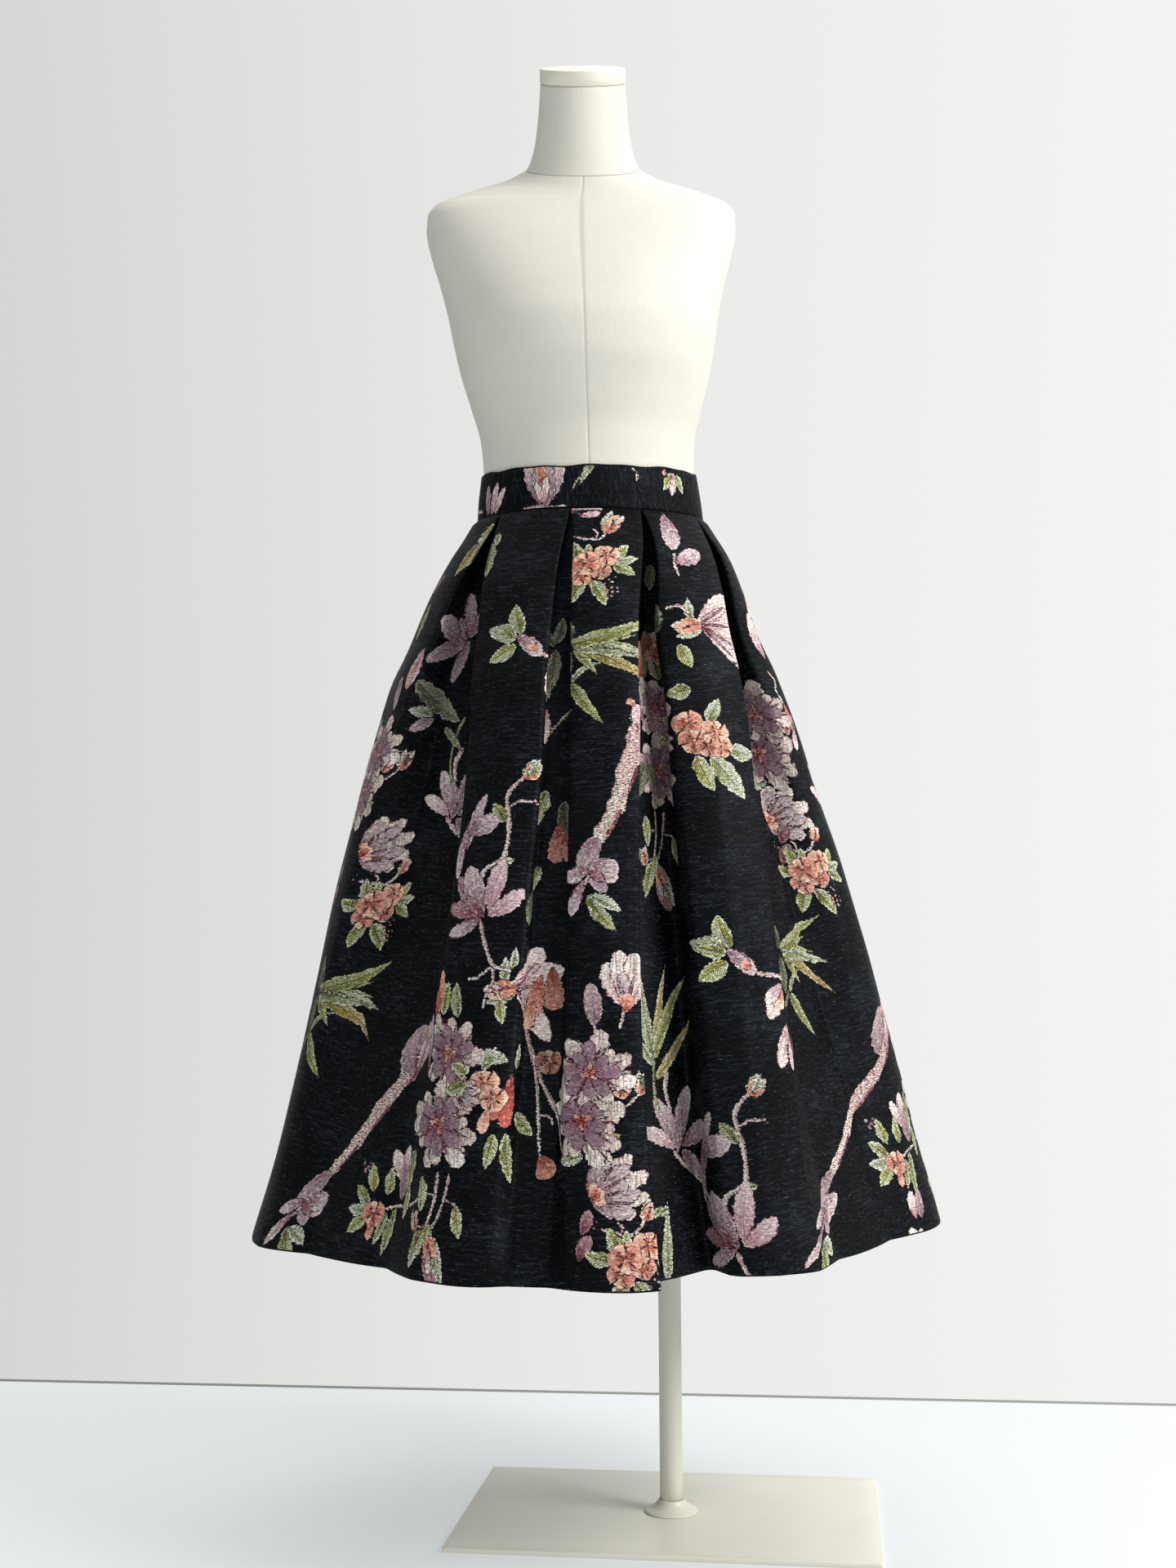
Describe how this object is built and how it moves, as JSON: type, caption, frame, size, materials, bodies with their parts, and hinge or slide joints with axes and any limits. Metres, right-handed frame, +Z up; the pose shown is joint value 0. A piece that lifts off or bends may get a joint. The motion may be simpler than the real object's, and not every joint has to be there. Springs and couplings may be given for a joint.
{
  "type": "a-line skirt on dress form",
  "caption": "Calf-length a-line skirt of floral jacquard with inverted box pleats and a straight waistband, worn on a limbless dress form on a pole and flat plate.",
  "frame": {"origin": "on the floor, at the underside of the base plate, on the pole's axis", "axes": "+Z up along the pole; -Y is the garment's front; +X is the viewer's right, seen from the front"},
  "size_m": [0.746, 0.7132, 1.6575],
  "materials": {
    "jacquard": "black and navy chenille jacquard with a woven flower pattern",
    "form_cloth": "off-white plain woven cloth, matt",
    "form_cap": "off-white smooth covered cap",
    "cream_paint": "satin powder coat"
  },
  "bodies": {
    "root": {"skirt_front": "jacquard", "skirt_back": "jacquard", "waistband_front": "jacquard", "waistband_back": "jacquard", "form_torso": "form_cloth", "form_neck": "form_cloth", "form_cap": "form_cap", "pole": "cream_paint", "pole_flange": "cream_paint", "base_plate": "cream_paint"}
  },
  "joints": []
}
